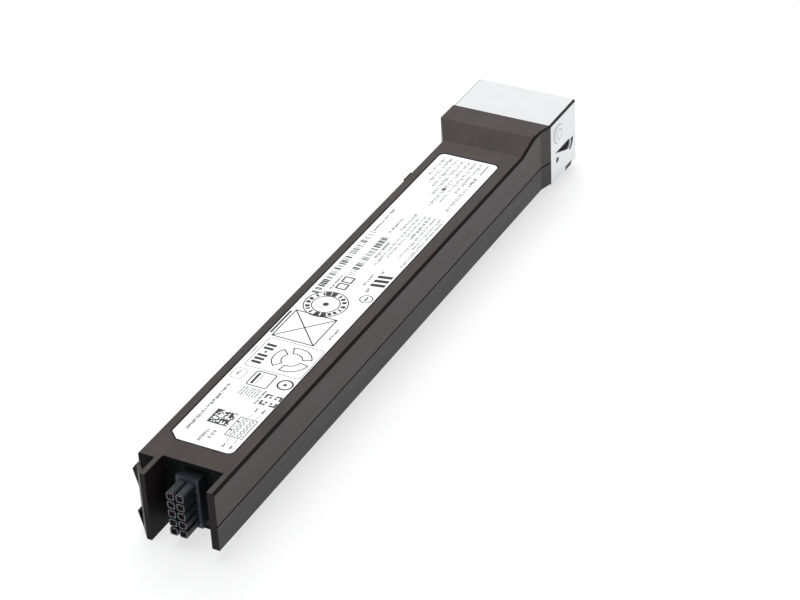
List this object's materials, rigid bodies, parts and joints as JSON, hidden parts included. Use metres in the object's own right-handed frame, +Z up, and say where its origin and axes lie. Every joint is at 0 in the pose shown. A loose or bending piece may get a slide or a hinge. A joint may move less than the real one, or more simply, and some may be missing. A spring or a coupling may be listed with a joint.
{
  "type": "raid battery module",
  "caption": "Slim plug-in backup battery module for a storage controller, with side rails, a recessed blind-mate connector end, a label on top and a steel end cap.",
  "frame": {"origin": "middle of the module's bounding box, on its flat underside", "axes": "+Y runs along the module from the connector end to the capped end, +Z is up through the label, +X is to the right seen from the connector end"},
  "size_m": [0.0508, 0.3194, 0.035],
  "materials": {
    "case_plastic": "fine spark-eroded moulding texture",
    "cap_steel": "bright zinc plate, brushed",
    "label_film": "satin printed film",
    "connector_plastic": "glass-filled moulding",
    "contact_metal": "tin-flashed copper alloy",
    "board": "solder mask over laminate",
    "black_plastic": "moulded",
    "white_plastic": "moulded or fibre",
    "ferrite": "pressed powder",
    "ceramic": "fired",
    "screw_steel": "zinc plate",
    "nickel": "rolled",
    "cell_sleeve": "shrink sleeve",
    "foam": "open cell",
    "red_lead": "insulated",
    "black_lead": "insulated",
    "white_lead": "insulated"
  },
  "bodies": {
    "root": {"board_screws": "screw_steel", "cap_rivets": "cap_steel", "case_screws": "screw_steel", "cell_left_front": "cell_sleeve", "cell_left_middle": "cell_sleeve", "cell_left_rear": "cell_sleeve", "cell_right_front": "cell_sleeve", "cell_right_middle": "cell_sleeve", "cell_right_rear": "cell_sleeve", "charger_chip": "black_plastic", "chip_capacitors": "ceramic", "connector_board": "board", "connector_contacts": "contact_metal", "connector_housing": "connector_plastic", "control_board": "board", "end_cap": "cap_steel", "foam_front": "foam", "foam_rear": "foam", "gauge_chip": "black_plastic", "label": "label_film", "lead_header": "black_plastic", "link_header": "black_plastic", "link_pins": "contact_metal", "lower_case": "case_plastic", "negative_lead": "black_lead", "positive_lead": "red_lead", "power_inductor": "ferrite", "power_transistors": "black_plastic", "sense_lead_front": "white_lead", "sense_lead_rear": "white_lead", "sense_resistors": "black_plastic", "strip_front": "nickel", "strip_middle_front": "nickel", "strip_middle_rear": "nickel", "strip_rear": "nickel", "thermal_fuse": "white_plastic", "thermistor": "ceramic", "thermistor_lead": "black_lead", "upper_case": "case_plastic"}
  },
  "joints": []
}
